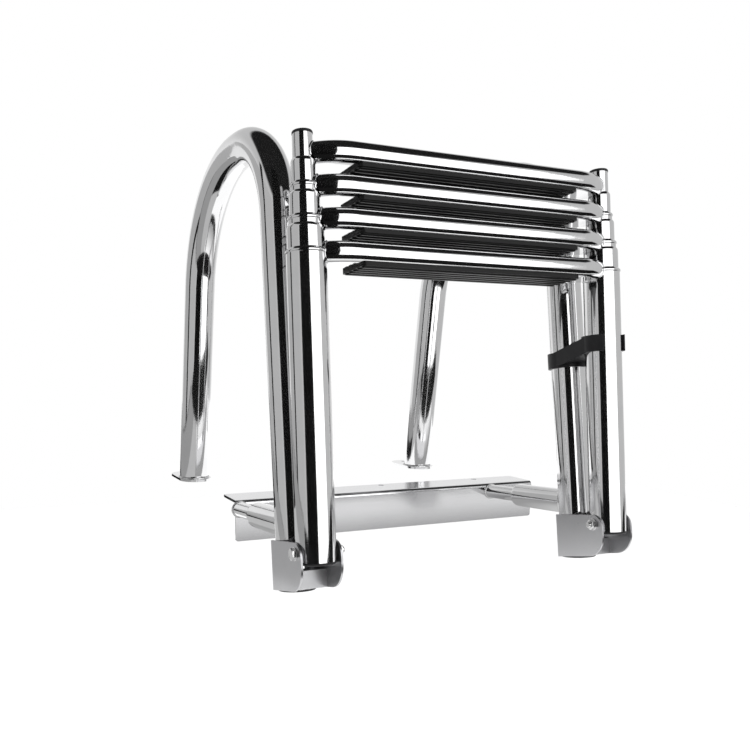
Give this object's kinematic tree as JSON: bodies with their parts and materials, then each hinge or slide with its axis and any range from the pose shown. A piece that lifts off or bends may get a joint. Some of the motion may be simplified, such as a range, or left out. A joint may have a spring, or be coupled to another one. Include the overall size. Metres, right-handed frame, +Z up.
{
  "type": "telescoping boat boarding ladder",
  "caption": "Stainless telescoping boarding ladder folded up against two hoop handrails, with stand-off arms to an edge angle, foot plates and black tread pads.",
  "frame": {"origin": "on the underside of the edge angle's deck flange, at mid-depth of the flange and midway between the two handrails", "axes": "+X to the right along the steps, as seen from the water; +Y from the water towards the boat; +Z up"},
  "size_m": [0.4478, 0.4637, 0.4698],
  "materials": {
    "polished_tube": "mirror-polished stainless tube",
    "polished_step": "mirror-polished stainless step",
    "polished_plate": "polished stainless sheet",
    "satin_steel": "satin stainless sheet",
    "bright_fastener": "bright stainless bolt",
    "black_plastic": "black moulded plastic with a slight sheen"
  },
  "bodies": {
    "base": {"left_hoop_rail": "polished_tube", "left_foot_plate": "polished_plate", "left_rail_plug": "black_plastic", "left_arm_sleeve": "polished_tube", "left_arm_tube": "polished_tube", "left_hinge_bracket": "satin_steel", "left_hinge_bolt": "bright_fastener", "right_hoop_rail": "polished_tube", "right_foot_plate": "polished_plate", "right_rail_plug": "black_plastic", "right_arm_sleeve": "polished_tube", "right_arm_tube": "polished_tube", "right_hinge_bracket": "satin_steel", "right_hinge_bolt": "bright_fastener", "edge_angle": "satin_steel", "retaining_clip": "black_plastic"},
    "outer_section": {"left_outer_stile": "polished_tube", "left_outer_bush": "black_plastic", "left_stile_plug": "black_plastic", "right_outer_stile": "polished_tube", "right_outer_bush": "black_plastic", "right_stile_plug": "black_plastic", "outer_step": "polished_step", "outer_tread_pad": "black_plastic"},
    "second_section": {"left_second_stile": "polished_tube", "left_second_bush": "black_plastic", "right_second_stile": "polished_tube", "right_second_bush": "black_plastic", "second_step": "polished_step", "second_tread_pad": "black_plastic"},
    "third_section": {"left_third_stile": "polished_tube", "left_third_bush": "black_plastic", "right_third_stile": "polished_tube", "right_third_bush": "black_plastic", "third_step": "polished_step", "third_tread_pad": "black_plastic"},
    "inner_section": {"left_inner_stile": "polished_tube", "left_end_cap": "black_plastic", "right_inner_stile": "polished_tube", "right_end_cap": "black_plastic", "inner_step": "polished_step", "inner_tread_pad": "black_plastic"}
  },
  "joints": [
    {"name": "ladder_fold", "type": "hinge", "parent": "base", "child": "outer_section", "pos_m": [0, -0.23097, -0.00775], "axis": [1, 0, 0], "range_deg": [0, 177.8], "deforming": ["retaining_clip"]},
    {"name": "second_slide", "type": "slide", "parent": "outer_section", "child": "second_section", "axis": [0, 0.1149, 0.9934], "range_m": [0, 0.25]},
    {"name": "third_slide", "type": "slide", "parent": "second_section", "child": "third_section", "axis": [0, 0.1149, 0.9934], "range_m": [0, 0.25]},
    {"name": "inner_slide", "type": "slide", "parent": "third_section", "child": "inner_section", "axis": [0, 0.1149, 0.9934], "range_m": [0, 0.25]}
  ]
}
